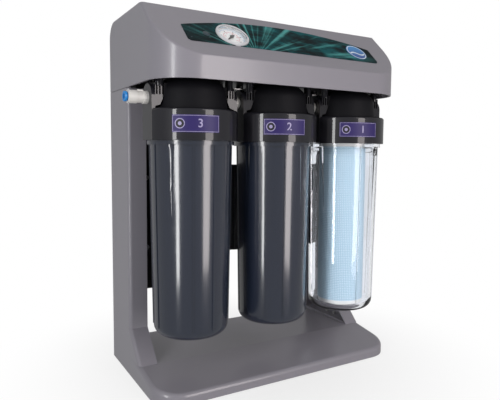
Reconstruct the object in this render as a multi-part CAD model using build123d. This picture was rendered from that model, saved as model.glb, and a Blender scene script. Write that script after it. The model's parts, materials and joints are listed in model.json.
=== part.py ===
from build123d import *
import os
from math import atan2, cos, pi, radians, sin, tan

# Reverse osmosis unit: three filter housings hang from a steel bracket inside a moulded case of a
# base, two columns and a hood. Millimetres, +Z up, front at -Y, origin on the floor midway across
# the case and midway between its back and the hood's front.

# Case
width = 375.0
height = 490.0
depth = 215.0
wall = 3.0
fit_gap = 0.4            # between pieces that drop into or beside one another
seam_gap = 0.6           # between the columns and the hood
running_gap = 0.1        # radial, between a turned piece and its hole
foot_proud = 1.5         # rubber feet below the base
foot_radius = 11.0
foot_height = 5.0
foot_inset = 26.0

hood_bottom = 394.0
hood_corner = 53.0
hood_ridge = 142.0       # from the back to where the slope starts
hood_face = 28.0         # upright strip below the slope
hood_back_round = 23.0
hood_edge_round = 4.0
hood_window_side = 14.0
hood_window_top = 36.0

base_depth = 200.0
base_corner = 38.0
base_height = 27.0
base_front_height = 15.0
base_flat = 122.0        # level part of the top, from the back
base_edge_round = 6.0
base_rib_count = 4

column_depth = 82.0      # from the back to the column's front
column_width = 25.5
column_edge_round = 5.0
foot_kink = 66.0         # where the foot starts to sweep forward
column_back_return = 20.0

# Housings
housing_clearance = 6.5   # ring to the columns' front
stages = [3, 2, 1]       # from -X to +X
ring_wall = 9.8           # outside the neck
ring_bottom = 323.3
ring_height = 38.2
head_top = 400.0
dome_step = 13.0
dome_draft = 4.5
dome_round = 18.0
ring_round = 3.0
chamber_step = 11.2       # chamber inside the neck
chamber_roof = 4.0       # below the ports' ducts
port_height = 375.0
port_flat = 2.3           # port plate's face inside the ring
port_gap = 9.6            # between two heads
plate_thickness = 4.4
plate_radius = 17.0
port_boss_radius = 13.0
port_thread_radius = 6.6
port_thread_depth = 13.0
port_duct_radius = 4.0
gusset_top_width = 19.7
gusset_bottom_width = 10.7
gusset_bottom = 364.0
gusset_slot_width = 2.2
gusset_slot_depth = 6.0
gusset_slot_bottom = 378.0
pad_radius = 5.0
pad_inset = 10.7          # from the port plate's face
pad_y = 14.0
head_boss_radius = 17.0
head_bore_radius = 9.0

sump_bottom = 74.6
sump_shoulder = 2.0       # bowl's top outside the neck
sump_draft = 3.8
sump_bottom_round = 13.0
sump_floor = 5.0
sump_wall = 3.5
sump_flange = 5.3         # flange outside the neck
sump_flange_height = 5.0
sump_gap = 0.3
neck_radius = 50.2
neck_height = 21.5
rib_count = 12           # places round the bowl, of which some are grooves
rib_width = 1.8
rib_proud = 0.9
rib_turn = {3: 40.0, 2: 16.0, 1: 20.0}   # degrees, where each bowl stops when it is tight
groove_count = 4
groove_radius = 10.5
groove_depth = 1.2
groove_bottom = 220.0
o_ring_radius = 1.35

cartridge_radius = 34.5
cartridge_length = 248.0
cartridge_cap_height = 9.0
cartridge_cap_radius = 33.0
cartridge_core_radius = 17.0
cartridge_bore_radius = 14.5
spigot_radius = 14.1
spigot_depth = 6.0

label_height = 20.6
label_rise = 9.0         # above the ring's bottom
label_turn = 17.0        # degrees round from the front towards -X
label_span = 55.0
label_thickness = 0.35

# Fittings
tube_radius = 3.175
tube_wall = 1.0
capillary_radius = 0.5
union_socket_radius = 4.8   # takes 9.5 mm tube
union_socket_depth = 14.0
union_duct_radius = 2.2
union_proud = 8.0
tube_entry = 7.0         # how far a tube goes into a socket
socket_gap = 0.075
socket_depth = 11.0
fitting_radius = 7.5
fitting_stub_radius = 6.0
knuckle_radius = 8.3
fitting_stub = 13.0
fitting_arm = 17.0
nipple_radius = 6.5
nipple_collar_radius = 8.0
outlet_flange = 5.5
outlet_waist = 8.0
outlet_waist_radius = 7.0
outlet_body = 11.0
outlet_body_radius = 8.0
collet_radius = 6.2
collet_stem_radius = 4.6
collet_flange = 2.6
collet_stem = 9.0
collet_gap = 1.4

# Bracket
steel = 2.0
bracket_side_gap = 4.5
bracket_front_from_back = 207.0
bracket_back_from_back = 9.5
bracket_corner = 46.0
tab_width = 30.0
tab_height = 48.0
upright_from_back = 47.5
upright_bottom = 111.0
upright_inner = 140.0
upright_flange = 25.0
upright_tab = 28.0
plate_bottom = 156.0
plate_top = 290.0
plate_reach = 166.0
plate_overlap = 12.0
strap_length = 52.0
strap_width = 12.0
strap_thickness = 1.5

# Facia and gauge
facia_half_width = 148.0
facia_bottom = 74.5      # down the slope from the ridge
facia_side_top = 41.5
facia_peak = 16.5
facia_corner = 5.0
facia_thickness = 0.8
badge_x = 119.0
badge_down = 53.0
badge_radius = 16.5
badge_thickness = 0.6
gauge_x = -82.8
gauge_down = 52.4
gauge_radius = 22.0
gauge_case_step = 1.6
gauge_depth = 25.0
gauge_wall = 1.2
bezel_height = 3.2
dial_step = 3.0
needle_step = 4.5
needle_rest = 225.0      # degrees anticlockwise from the slope's right, seen from the front

# Membrane and post filter, above the bracket
membrane_from_back = 55.5
membrane_height = 437.0
membrane_left = -152.0
membrane_right = 153.0
membrane_radius = 30.0
membrane_cap_radius = 33.0
membrane_cap_length = 40.0
membrane_port_offset = 12.0
element_radius = 22.5
post_from_back = 113.5
post_left = -152.0
post_right = 90.0
post_radius = 23.0
nose_length = 12.0
clip_width = 14.0
clip_wall = 2.4

# Screws
screw_radius = 2.0
screw_head_radius = 4.0
screw_head_height = 2.2
screw_crown = 1.2
screw_length = 10.0

y_back = depth / 2
y_front = -depth / 2
column_y = y_back - column_depth
foot_y = y_back - base_flat
slope_angle = atan2(height - hood_bottom - hood_face, depth - hood_ridge)
ring_top = ring_bottom + ring_height
bracket_z = head_top
bracket_top_z = head_top + steel
flange_top = ring_bottom - sump_gap
neck_top = flange_top + neck_height
cartridge_bottom = sump_bottom + sump_floor + fit_gap
cartridge_top = cartridge_bottom + cartridge_length
membrane_y = y_back - membrane_from_back
post_y = y_back - post_from_back
slope_normal = Vector(0, -sin(slope_angle), cos(slope_angle))
slope_down = Vector(0, -cos(slope_angle), -sin(slope_angle))
ring_radius = neck_radius + ring_wall
dome_radius = ring_radius - dome_step
chamber_radius = neck_radius - chamber_step
port_reach = ring_radius - port_flat
pitch = 2 * port_reach + port_gap
housing_y = column_y - housing_clearance - ring_radius
gusset_inner_top = port_reach - gusset_top_width
gusset_inner_bottom = port_reach - gusset_bottom_width
pad_x = port_reach - pad_inset
sump_top_radius = neck_radius + sump_shoulder
sump_foot_radius = sump_top_radius - sump_draft
sump_flange_radius = neck_radius + sump_flange
socket_radius = tube_radius + socket_gap
gauge_case_radius = gauge_radius - gauge_case_step
dial_radius = gauge_radius - dial_step
needle_length = dial_radius - needle_step
stage_x = {stage: (index - 1) * pitch for index, stage in enumerate(stages)}


def block(x, y, z):
    """A box between two values on each axis."""
    middle = Pos((x[0] + x[1]) / 2, (y[0] + y[1]) / 2, (z[0] + z[1]) / 2)
    return middle * Box(abs(x[1] - x[0]), abs(y[1] - y[0]), abs(z[1] - z[0]))


def rod(radius, start, end):
    """A round bar from one point to another."""
    start, end = Vector(*start), Vector(*end)
    bar = Cylinder(radius, (end - start).length, align=(Align.CENTER, Align.CENTER, Align.MIN))
    return Plane(origin=start, z_dir=end - start) * bar


def turned(points, origin=(0, 0, 0), axis=(0, 0, 1), rounds=()):
    """A turned solid whose half section is a closed line of (radius, height) points.

    Each of rounds is the number of a point and the radius that rounds the corner there.
    """
    section = make_face(Polyline(*[(radius, along) for radius, along in points], close=True))
    for number, round_radius in rounds:
        corner = section.vertices().sort_by_distance((*points[number], 0))[0]
        section = fillet(corner, round_radius)
    upright_plane = Plane(origin=(0, 0, 0), x_dir=(1, 0, 0), z_dir=(0, -1, 0))
    return Plane(origin=origin, z_dir=axis) * revolve(upright_plane * section, Axis.Z)


def side_prism(points, x):
    """A closed outline of (y, z) points drawn out between two values of x."""
    outline = make_face(Polyline(*[(0, y, z) for y, z in points], close=True))
    return Pos(x[0], 0, 0) * extrude(outline, amount=x[1] - x[0], dir=(1, 0, 0))


def plan_prism(half_width, front, back, corner, z):
    """A block with round front corners, seen from above."""
    plan = Pos(0, (front + back) / 2) * Rectangle(2 * half_width, back - front)
    plan = fillet(plan.vertices().group_by(Axis.Y)[0], corner)
    return Pos(0, 0, z[0]) * extrude(plan, amount=z[1] - z[0])


def on_slope(x, down, out=0.0):
    """A plane on the hood's slope: its x runs across, its y up the slope and its z out."""
    ridge = Vector(x, y_back - hood_ridge, height)
    return Plane(origin=ridge + slope_down * down + slope_normal * out, x_dir=(1, 0, 0),
                 z_dir=slope_normal)


def screw(tip, direction, length=screw_length):
    """A pan-head screw: the underside of its head at tip, its shank along direction."""
    tip, direction = Vector(*tip), Vector(*direction)
    head = rod(screw_head_radius, tip, tip - direction * screw_head_height)
    crown = head.edges().filter_by(GeomType.CIRCLE).sort_by(lambda edge: (edge.center() - tip).length)[-1]
    return fillet(crown, screw_crown) + rod(screw_radius, tip, tip + direction * length)


def drilled(piece, places):
    """The piece with a hole for each screw's shank."""
    for tip, direction, *length in places:
        tip, direction = Vector(*tip), Vector(*direction)
        reach = (length[0] if length else screw_length) + fit_gap
        piece -= rod(screw_radius + running_gap, tip - direction * wall, tip + direction * reach)
    return piece


# Where screws go: the underside of each head and the way it drives
foot_points = [(sx * (width / 2 - foot_inset), y) for sx in (-1, 1)
               for y in (y_back - foot_inset, y_back - base_depth + foot_inset)] + [(0.0, 0.0)]
column_screws = [((sx * (width / 2 - 11), y, base_height - wall), (0, 0, 1))
                 for sx in (-1, 1) for y in (y_back - 52, column_y + 10)]
hood_screws = [((x, y, bracket_z), (0, 0, 1)) for x in (-150, -50, 50, 150)
               for y in (y_back - bracket_front_from_back + 8,)]
hood_screws += [((sx * 176, column_y - 8, bracket_z), (0, 0, 1)) for sx in (-1, 1)]
head_screws = [((stage_x[stage] + sx * pad_x, housing_y + sy * pad_y, bracket_top_z), (0, 0, -1))
               for stage in stages for sx in (-1, 1) for sy in (-1, 1)]
strap_top = port_height + plate_radius + strap_thickness
strap_screws = [((stage_x[stage] + sx * (pitch / 2 - 20.5), housing_y, strap_top),
                 (0, 0, -1)) for stage, sx in ((3, 1), (2, -1), (2, 1), (1, -1))]
tab_screws = [((sx * x, y_back - upright_from_back - 14, bracket_top_z), (0, 0, -1))
              for sx in (-1, 1) for x in (150.0, 172.0)]
plate_y = y_back - upright_from_back - steel
back_screws = [((sx * 153, plate_y - steel, z), (0, 1, 0)) for sx in (-1, 1)
               for z in (plate_bottom + 16, plate_top - 18)]
back_screws += [((0, plate_y - 2 * steel, z), (0, 1, 0)) for z in (plate_bottom + 16, plate_top - 18)]
side_screws = [((sx * (width / 2 - wall - steel - fit_gap), y_back - 35, z), (sx, 0, 0), steel + wall / 2)
               for sx in (-1, 1) for z in (150.0, 250.0, 350.0)]


# --- Case ---------------------------------------------------------------------------------------
def hood_form(inset):
    """The hood's outer form, or its hollow when inset by the wall."""
    low = hood_bottom - (1 if inset else 0)
    face_top = hood_bottom + hood_face - inset * tan(pi / 4 - slope_angle / 2)
    ridge = y_back - hood_ridge + inset * tan(slope_angle / 2)
    back, front, top = y_back - inset, y_front + inset, height - inset
    form = side_prism([(back, low), (front, low), (front, face_top), (ridge, top), (back, top)],
                      (-width / 2, width / 2))
    rear_top = form.edges().filter_by(Axis.X).sort_by(lambda edge: edge.center().Y + edge.center().Z)[-1]
    form = fillet(rear_top, hood_back_round - inset)
    return form & plan_prism(width / 2 - inset, front, back, hood_corner - inset, (low - 1, height + 1))


def make_hood():
    form = hood_form(0)
    slope = form.faces().sort_by(lambda face: (face.normal_at() - slope_normal).length)[0]
    ridge = slope.edges().sort_by(Axis.Z)[-1]
    form = fillet([edge for edge in slope.edges() if edge != ridge], hood_edge_round)
    hood = form - hood_form(wall)
    half_window = width / 2 - hood_window_side
    hood -= block((-half_window, half_window), (y_back - wall - 1, y_back + 1),
                  (hood_bottom + 8, height - hood_window_top))
    hood -= block((-half_window + 14, half_window - 14), (y_back - wall - 1, y_back + 1),
                  (hood_bottom - 1, hood_bottom + 9))
    for (x, y, z), way in hood_screws:
        boss = rod(5.5, (x, y, bracket_top_z), (x, y, hood_bottom + hood_face + 2))
        rib = block((x - 1.5, x + 1.5), (y_front + wall - 1, y), (bracket_top_z, hood_bottom + hood_face))
        if y > housing_y:
            side = 1 if x > 0 else -1
            rib = block((x, side * (width / 2 - wall + 1)), (y - 1.5, y + 1.5),
                        (bracket_top_z, hood_bottom + hood_face))
        hood += (boss + rib) & hood_form(wall / 2)
    hood = drilled(hood, hood_screws)
    hood -= on_slope(gauge_x, gauge_down) * Cylinder(gauge_case_radius + fit_gap, 20)
    return hood


def base_form(inset):
    """The base's outer form, or its hollow when inset by the wall."""
    low = foot_proud - (1 if inset else 0)
    front = y_back - base_depth + inset
    drop = (base_height - base_front_height) / (base_depth - base_flat)
    points = [(y_back - inset, low), (front, low), (front, base_front_height + drop * inset - inset),
              (foot_y, base_height - inset), (y_back - inset, base_height - inset)]
    form = side_prism(points, (-width / 2, width / 2))
    return form & plan_prism(width / 2 - inset, front, y_back - inset, base_corner - inset,
                             (low - 1, height))


def make_base():
    form = base_form(0)
    slope = form.faces().filter_by(lambda face: abs(face.normal_at().X) < 0.01
                                   and 0.5 < face.normal_at().Z < 0.999)[0]
    back_edge = slope.edges().sort_by(Axis.Z)[-1]
    form = fillet([edge for edge in slope.edges() if edge != back_edge], base_edge_round)
    hollow = base_form(wall)
    base = form - hollow
    span = width - 2 * wall
    for index in range(base_rib_count):
        x = -span / 2 + span * (index + 1) / (base_rib_count + 1)
        base += block((x - 1.25, x + 1.25), (y_back - base_depth, y_back), (foot_proud + 4, base_height)) & hollow
    base += block((-span / 2, span / 2), (-1.25, 1.25), (foot_proud + 4, base_height)) & hollow
    for x, y in foot_points:  # one near each corner and one in the middle
        stem = rod(foot_radius + 2, (x, y, foot_proud), (x, y, base_height))
        base += stem & base_form(wall / 2)
        base -= rod(foot_radius + fit_gap, (x, y, 0), (x, y, foot_height))
    return drilled(base, column_screws)


def make_feet():
    feet = []
    for x, y in foot_points:
        foot = rod(foot_radius, (x, y, 0), (x, y, foot_height))
        feet.append(fillet(foot.edges().filter_by(GeomType.CIRCLE).sort_by(Axis.Z)[0], 1.0))
    return feet


def column_outline(inset, high):
    """The column's side view, with its foot swept forward, up to a height."""
    lean = atan2(column_y - foot_y, foot_kink - base_height)
    kink_y = column_y + inset
    kink_z = foot_kink + inset * tan(lean / 2)
    low = base_height + inset
    toe_y = kink_y - (kink_z - low) * tan(lean)
    return [(y_back - inset, low), (toe_y, low), (kink_y, kink_z), (kink_y, high), (y_back - inset, high)]


def make_column(side):
    inner, outer = width / 2 - column_width, width / 2
    column = side_prism(column_outline(0, hood_bottom - seam_gap), (inner, outer))
    corner = [edge for edge in column.faces().sort_by(Axis.X)[-1].edges()
              if edge.center().Y < column_y + 1 and abs(edge.tangent_at(0.5).Z) > 0.3]
    column = fillet(corner, column_edge_round)
    column -= side_prism(column_outline(wall, hood_bottom + 1), (inner - 1, outer - wall))
    column -= block((inner - 1, outer - column_back_return), (y_back - 2 * wall, y_back + 1),
                    (base_height + wall, hood_bottom + 1))
    if side < 0:
        column = mirror(column, about=Plane.YZ)
    return drilled(column, [place for place in column_screws + side_screws if place[0][0] * side > 0])


# --- Bracket ------------------------------------------------------------------------------------
def make_bracket_top():
    """Steel tray that closes the hood from below, with two tabs that hold the outlets."""
    back, front = y_back - bracket_back_from_back, y_back - bracket_front_from_back
    tray = plan_prism(width / 2 - bracket_side_gap, front, back, bracket_corner, (bracket_z, bracket_top_z))
    for x, z in outlets:
        tab = block((x - tab_width / 2, x + tab_width / 2), (back - steel, back),
                    (bracket_z, bracket_z + tab_height))
        tray += tab - rod(fitting_radius + running_gap, (x, back - 5, z), (x, back + 5, z))
    return drilled(tray, hood_screws + head_screws + tab_screws)


def make_upright(side):
    web_y = y_back - upright_from_back
    outer = width / 2 - wall - fit_gap
    upright = block((upright_inner, outer), (web_y - steel, web_y), (upright_bottom, bracket_z))
    upright += block((outer - steel, outer), (web_y, web_y + upright_flange), (upright_bottom, hood_bottom - 6))
    upright += block((upright_inner, outer), (web_y - upright_tab, web_y), (bracket_z - steel, bracket_z))
    if side < 0:
        upright = mirror(upright, about=Plane.YZ)
    return drilled(upright, tab_screws + back_screws + side_screws)


def make_back_plate(side):
    """One of two steel plates that overlap behind the middle housing."""
    z = (plate_bottom, plate_top)
    if side < 0:
        plate = block((-plate_reach, plate_overlap), (plate_y - steel, plate_y), z)
    else:
        plate = block((plate_overlap + fit_gap, plate_reach), (plate_y - steel, plate_y), z)
        plate += block((-plate_overlap, plate_overlap + fit_gap + steel), (plate_y - 2 * steel, plate_y - steel), z)
    return drilled(plate, back_screws)


def make_straps():
    """Short steel straps that tie each head to the next."""
    z = port_height + plate_radius
    straps = []
    for left, right in ((3, 2), (2, 1)):
        x = (stage_x[left] + stage_x[right]) / 2
        strap = block((x - strap_length / 2, x + strap_length / 2),
                      (housing_y - strap_width / 2, housing_y + strap_width / 2), (z, z + strap_thickness))
        straps.append(drilled(strap, strap_screws))
    return straps


# --- Housings -----------------------------------------------------------------------------------
def make_head(stage):
    """Head: threaded ring, dome, and a port with its plate and ribbed gusset on each side."""
    x = stage_x[stage]
    origin = (x, housing_y, 0)
    dome = turned([(0, ring_bottom), (ring_radius, ring_bottom), (ring_radius, ring_top),
                   (dome_radius, ring_top), (dome_radius - dome_draft, head_top), (0, head_top)],
                  origin, rounds=[(2, ring_round), (4, dome_round)])
    head = dome & block((x - port_reach, x + port_reach), (y_front, y_back), (0, height))
    gusset_top = port_height + plate_radius
    for side in (-1, 1):
        face, inner = x + side * port_reach, x + side * (port_reach - plate_thickness)
        plate = rod(plate_radius, (inner, housing_y, port_height), (face, housing_y, port_height))
        plate += block((inner, face), (housing_y - plate_radius, housing_y + plate_radius),
                       (ring_bottom, port_height))
        outline = [(inner, gusset_bottom), (x + side * gusset_inner_bottom, gusset_bottom + 2),
                   (x + side * (gusset_inner_top + 3), port_height + 5),
                   (x + side * gusset_inner_top, gusset_top), (inner, gusset_top)]
        section = make_face(Polyline(*[(px, housing_y + plate_radius, pz) for px, pz in outline], close=True))
        gusset = extrude(section, amount=2 * plate_radius, dir=(0, -1, 0))
        for step in range(3):
            slot_x = x + side * (gusset_inner_top + 5.5 + 3.9 * step)
            for edge in (-1, 1):
                start = housing_y + edge * plate_radius
                gusset -= block((slot_x - gusset_slot_width / 2, slot_x + gusset_slot_width / 2),
                                (start, start - edge * gusset_slot_depth), (gusset_slot_bottom, gusset_top + 1))
        head += plate + gusset
        head += rod(port_boss_radius, (x + side * 40, housing_y, port_height), (face, housing_y, port_height))
        for sy in (-1, 1):
            pad = (x + side * pad_x, housing_y + sy * pad_y)
            head += rod(pad_radius, (*pad, gusset_top - 4), (*pad, head_top))
        recess_start = x + side * (pitch - strap_length) / 2 - side * fit_gap
        half_recess = strap_width / 2 + 2
        head -= block((recess_start, face + side), (housing_y - half_recess, housing_y + half_recess),
                      (gusset_top, head_top + 1))
    chamber = port_height - port_duct_radius - chamber_roof
    head -= turned([(0, ring_bottom - 1), (neck_radius + fit_gap, ring_bottom - 1),
                    (neck_radius + fit_gap, neck_top + 2 * o_ring_radius + fit_gap),
                    (chamber_radius, neck_top + 2 * o_ring_radius + fit_gap + 4),
                    (chamber_radius, chamber), (0, chamber)], origin)
    spigot_low = cartridge_top - spigot_depth
    boss = rod(head_boss_radius, (x, housing_y, cartridge_top + fit_gap), (x, housing_y, chamber + 1))
    boss += rod(spigot_radius, (x, housing_y, spigot_low), (x, housing_y, chamber))
    head += boss
    head -= rod(head_bore_radius, (x, housing_y, spigot_low - 1), (x, housing_y, port_height + 5))
    for side in (-1, 1):
        face = x + side * port_reach
        head -= rod(port_thread_radius, (face + side, housing_y, port_height),
                    (face - side * port_thread_depth, housing_y, port_height))
    inlet_end = x + chamber_radius - 2 * port_duct_radius
    head -= rod(port_duct_radius, (x + port_reach - 1, housing_y, port_height), (inlet_end, housing_y, port_height))
    duct_top = (inlet_end, housing_y, port_height + port_duct_radius)
    head -= rod(port_duct_radius, duct_top, (inlet_end, housing_y, chamber - 5))
    head -= rod(port_duct_radius, (x - port_reach + 1, housing_y, port_height), (x, housing_y, port_height))
    return drilled(head, [place for place in head_screws + strap_screws if abs(place[0][0] - x) < pitch / 2])


def sump_radius(z):
    """The bowl's outer radius at a height: it narrows evenly from the flange to the foot."""
    low, high = sump_bottom + sump_bottom_round, flange_top - sump_flange_height
    return sump_foot_radius + (sump_top_radius - sump_foot_radius) * (z - low) / (high - low)


def bowl_side(inset, low, high):
    """Half section points of the bowl's side, inset by a wall, from the foot's corner up."""
    return [(sump_radius(low) - inset, low), (sump_radius(high) - inset, high)]


def make_groove():
    """Cutter for one tapered groove: a slim cone, its tip on the side and its wide end at the flange."""
    tip = Vector(sump_radius(groove_bottom), 0, groove_bottom)
    wide = Vector(sump_top_radius + groove_radius - groove_depth, 0, flange_top - sump_flange_height)
    run = wide - tip
    cone = turned([(0, 0), (groove_radius, run.length), (0, run.length)])
    return Plane(origin=tip, z_dir=run) * cone


def make_sump(stage):
    """Bowl: rounded foot, tapered ribbed side, flange and threaded neck."""
    origin = (stage_x[stage], housing_y, 0)
    flange_low = flange_top - sump_flange_height
    outside = [(0, sump_bottom)] + bowl_side(0, sump_bottom, flange_low)
    outside += [(sump_flange_radius, flange_low), (sump_flange_radius, flange_top), (neck_radius, flange_top),
                (neck_radius, neck_top), (0, neck_top)]
    floor = sump_bottom + sump_floor
    inside = [(0, floor)] + bowl_side(sump_wall, floor, flange_low - 12)
    inside += [(neck_radius - sump_wall, flange_low), (neck_radius - sump_wall, neck_top + 1), (0, neck_top + 1)]
    sump = turned(outside, rounds=[(1, sump_bottom_round)])
    low, high = sump_bottom + sump_bottom_round, flange_low
    rib = make_face(Polyline((sump_foot_radius - 3, 0, low), (sump_radius(low) + rib_proud, 0, low),
                             (sump_radius(high) + rib_proud, 0, high), (sump_top_radius - 3, 0, high), close=True))
    rib = extrude(rib, amount=rib_width / 2, both=True)
    groove = make_groove()
    for index in range(rib_count):
        turn = Rot(0, 0, rib_turn[stage] + 360 / rib_count * index)
        if index % (rib_count // groove_count):
            sump += turn * rib
        else:
            sump -= turn * groove
    seat_round = sump_radius(floor) - sump_wall - cartridge_cap_radius - fit_gap
    hollow_round = min(sump_bottom_round - sump_wall / 2, seat_round)
    return Pos(*origin) * (sump - turned(inside, rounds=[(1, hollow_round)]))


def make_o_ring(stage):
    ring = Torus(neck_radius - sump_wall / 2, o_ring_radius)
    return Pos(stage_x[stage], housing_y, neck_top + o_ring_radius) * ring


def cartridge_piece(stage, radius, low, high, bore):
    at = (stage_x[stage], housing_y)
    piece = rod(radius, (*at, low), (*at, high))
    return piece - rod(bore, (*at, low - 1), (*at, high + 1))


def make_cartridge(stage):
    """Filter body, its core tube where it has one, and its two end caps."""
    low, high = cartridge_bottom + cartridge_cap_height, cartridge_top - cartridge_cap_height
    caps = [cartridge_piece(stage, cartridge_cap_radius, high, cartridge_top, cartridge_bore_radius)]
    at = (stage_x[stage], housing_y)
    foot = rod(cartridge_cap_radius, (*at, cartridge_bottom), (*at, low))
    caps.append(foot - rod(cartridge_bore_radius, (*at, cartridge_bottom + 3), (*at, low + 1)))
    media = cartridge_piece(stage, cartridge_radius, low, high, cartridge_core_radius + fit_gap / 4)
    core = cartridge_piece(stage, cartridge_core_radius, low, high, cartridge_bore_radius)
    return media, core, caps


def make_stage_label(stage):
    x = stage_x[stage]
    inner = ring_radius + 0.05
    low = ring_bottom + label_rise
    sheet = cartridge_piece(stage, inner + label_thickness, low, low + label_height, inner)
    middle = radians(270 - label_turn)
    reach = 2 * ring_radius
    points = [(x, housing_y)]
    for step in range(-2, 3):
        angle = middle + radians(label_span / 4 * step)
        points.append((x + reach * cos(angle), housing_y + reach * sin(angle)))
    sector = make_face(Polyline(*[(px, py, low) for px, py in points], close=True))
    return sheet & extrude(sector, amount=label_height, dir=(0, 0, 1))


# --- Fittings -----------------------------------------------------------------------------------
def make_nipple(left, right):
    """White threaded nipple between two heads, with a collar that fills the gap."""
    start, end = stage_x[left] + port_reach, stage_x[right] - port_reach
    at = (housing_y, port_height)
    reach = port_thread_depth - 2
    nipple = rod(nipple_radius, (start - reach, *at), (end + reach, *at))
    nipple += rod(nipple_collar_radius, (start, *at), (end, *at))
    return nipple - rod(port_duct_radius, (start - reach - 1, *at), (end + reach + 1, *at))


outlet_face = stage_x[3] - port_reach
outlet_end = outlet_face - outlet_flange - outlet_waist - outlet_body


def make_outlet_fitting():
    """Push-fit connector on the last stage's outlet port."""
    at = (housing_y, port_height)
    fitting = rod(nipple_radius, (outlet_face + port_thread_depth - 2, *at), (outlet_face, *at))
    fitting += rod(outlet_body_radius, (outlet_face, *at), (outlet_face - outlet_flange, *at))
    waist_end = outlet_face - outlet_flange - outlet_waist
    fitting += rod(outlet_waist_radius, (outlet_face - outlet_flange, *at), (waist_end, *at))
    fitting += rod(outlet_body_radius, (waist_end, *at), (outlet_end, *at))
    fitting += block((waist_end + 1, outlet_face - outlet_flange), (housing_y - 2, housing_y + 2),
                     (port_height, port_height + outlet_waist_radius + 1.8))
    fitting -= rod(collet_stem_radius + running_gap, (outlet_end - 1, *at), (outlet_end + collet_stem + 1, *at))
    return fitting - rod(socket_radius, (outlet_end, *at), (outlet_face + port_thread_depth, *at))


def make_collet():
    """Blue release ring with its stem: pushed in, it lets the tube go."""
    at = (housing_y, port_height)
    rim = outlet_end - collet_gap
    collet = rod(collet_radius, (rim - collet_flange, *at), (rim, *at))
    collet += rod(collet_stem_radius, (rim, *at), (outlet_end + collet_stem - collet_gap, *at))
    return collet - rod(socket_radius, (rim - collet_flange - 1, *at), (outlet_end + collet_stem, *at))


def elbow(port, away, arms):
    """A moulded fitting: a stub from its port, a round knuckle and an arm with a tube socket each way."""
    port, away = Vector(*port), Vector(*away)
    knuckle = port + away * fitting_stub
    seam_away = Plane(origin=knuckle, x_dir=away, z_dir=away.cross(Vector(*arms[0])))
    body = rod(fitting_stub_radius, port, knuckle) + seam_away * Sphere(knuckle_radius)
    for arm in arms:
        body += rod(fitting_radius, knuckle + Vector(*arm) * 3, knuckle + Vector(*arm) * fitting_arm)
    body -= rod(2.2, port - away, knuckle)
    for arm in arms:
        end = knuckle + Vector(*arm) * fitting_arm
        body -= rod(socket_radius, end - Vector(*arm) * socket_depth, end + Vector(*arm))
        body -= rod(2.2, knuckle, end)
    return body


def tube(points):
    """Polyethylene tube: straight runs joined by tangent arcs, each as large as its two runs allow."""
    corners = [Vector(*point) for point in points]
    radii = []
    for before, corner, after in zip(corners, corners[1:], corners[2:]):
        run_in, run_out = corner - before, after - corner
        half_turn = radians(run_in.get_angle(run_out)) / 2
        radii.append(0.45 * min(run_in.length, run_out.length) / tan(half_turn))
    path = FilletPolyline(*corners, radius=radii) if radii else Polyline(*corners)
    start = Plane(origin=path @ 0, z_dir=path % 0)
    section = start * (Circle(tube_radius) - Circle(tube_radius - tube_wall))
    print("tube length", round(path.length, 1), "radii", [round(radius) for radius in radii])
    return sweep(section, path=path)


gauge_stem_end = on_slope(gauge_x, gauge_down, -gauge_depth - 8).origin
permeate_y = membrane_y - membrane_port_offset
drain_y = membrane_y + membrane_port_offset
end_x = membrane_left - fitting_stub
feed_knuckle = membrane_right + fitting_stub
outlets = [(158.0, 413.0), (end_x, membrane_height)]
union_mouth = y_back - bracket_back_from_back - 14


def make_elbows():
    return [elbow((membrane_left, permeate_y, membrane_height), (-1, 0, 0), [(0, -1, 0)]),
            elbow((membrane_left, drain_y, membrane_height), (-1, 0, 0), [(0, 1, 0)]),
            elbow((post_left, post_y, membrane_height), (-1, 0, 0), [(0, 1, 0)]),
            elbow(gauge_stem_end, -slope_normal, [(1, 0, 0)])]


def make_link_tubes():
    """Short straight tubes: membrane to post filter, and membrane to the drain socket."""
    x, z = outlets[1]
    arm = fitting_arm - tube_entry
    return [tube([(x, permeate_y - arm, z), (x, post_y + arm, z)]),
            tube([(x, drain_y + arm, z), (x, union_mouth + tube_entry, z)])]


def make_product_tube():
    """From the post filter's nose to the filtered water socket."""
    x, z = outlets[0]
    start = post_right + nose_length - tube_entry
    return tube([(start, post_y, membrane_height), (118, post_y, membrane_height), (140, post_y - 2, 424),
                 (x - 3, post_y + 14, z + 2), (x, post_y + 46, z), (x, union_mouth + tube_entry, z)])


def make_gauge_tube():
    """From the gauge's elbow to the feed tee."""
    knuckle = gauge_stem_end - slope_normal * fitting_stub
    arm = fitting_arm - tube_entry
    return tube([(knuckle.X + arm, knuckle.Y, knuckle.Z), (-25, knuckle.Y, knuckle.Z), (30, -44, 424),
                 (85, -42, 430), (135, -34, 436), (feed_knuckle, -2, membrane_height),
                 (feed_knuckle, membrane_y - arm, membrane_height)])


def make_unions():
    """Bulkhead sockets in the bracket's tabs: filtered water and drain."""
    back = y_back - bracket_back_from_back
    mouth = back + union_proud
    unions = []
    for x, z in outlets:
        body = rod(fitting_radius, (x, union_mouth, z), (x, mouth, z))
        body += rod(fitting_radius + 2.5, (x, back, z), (x, back + 3, z))
        body += rod(fitting_radius + 2.5, (x, back - steel - 3, z), (x, back - steel, z))
        body -= rod(union_socket_radius, (x, mouth - union_socket_depth, z), (x, mouth + 1, z))
        body -= rod(union_duct_radius, (x, union_mouth - 1, z), (x, mouth, z))
        unions.append(body - rod(socket_radius, (x, union_mouth - 1, z), (x, union_mouth + tube_entry + 1, z)))
    return unions


def make_restrictor():
    """Capillary insert inside the drain tube."""
    x, z = outlets[1]
    bore = tube_radius - tube_wall - running_gap
    insert = rod(bore, (x, drain_y + fitting_arm - 4, z), (x, union_mouth + 4, z))
    return insert - rod(capillary_radius, (x, drain_y, z), (x, y_back, z))


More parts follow.
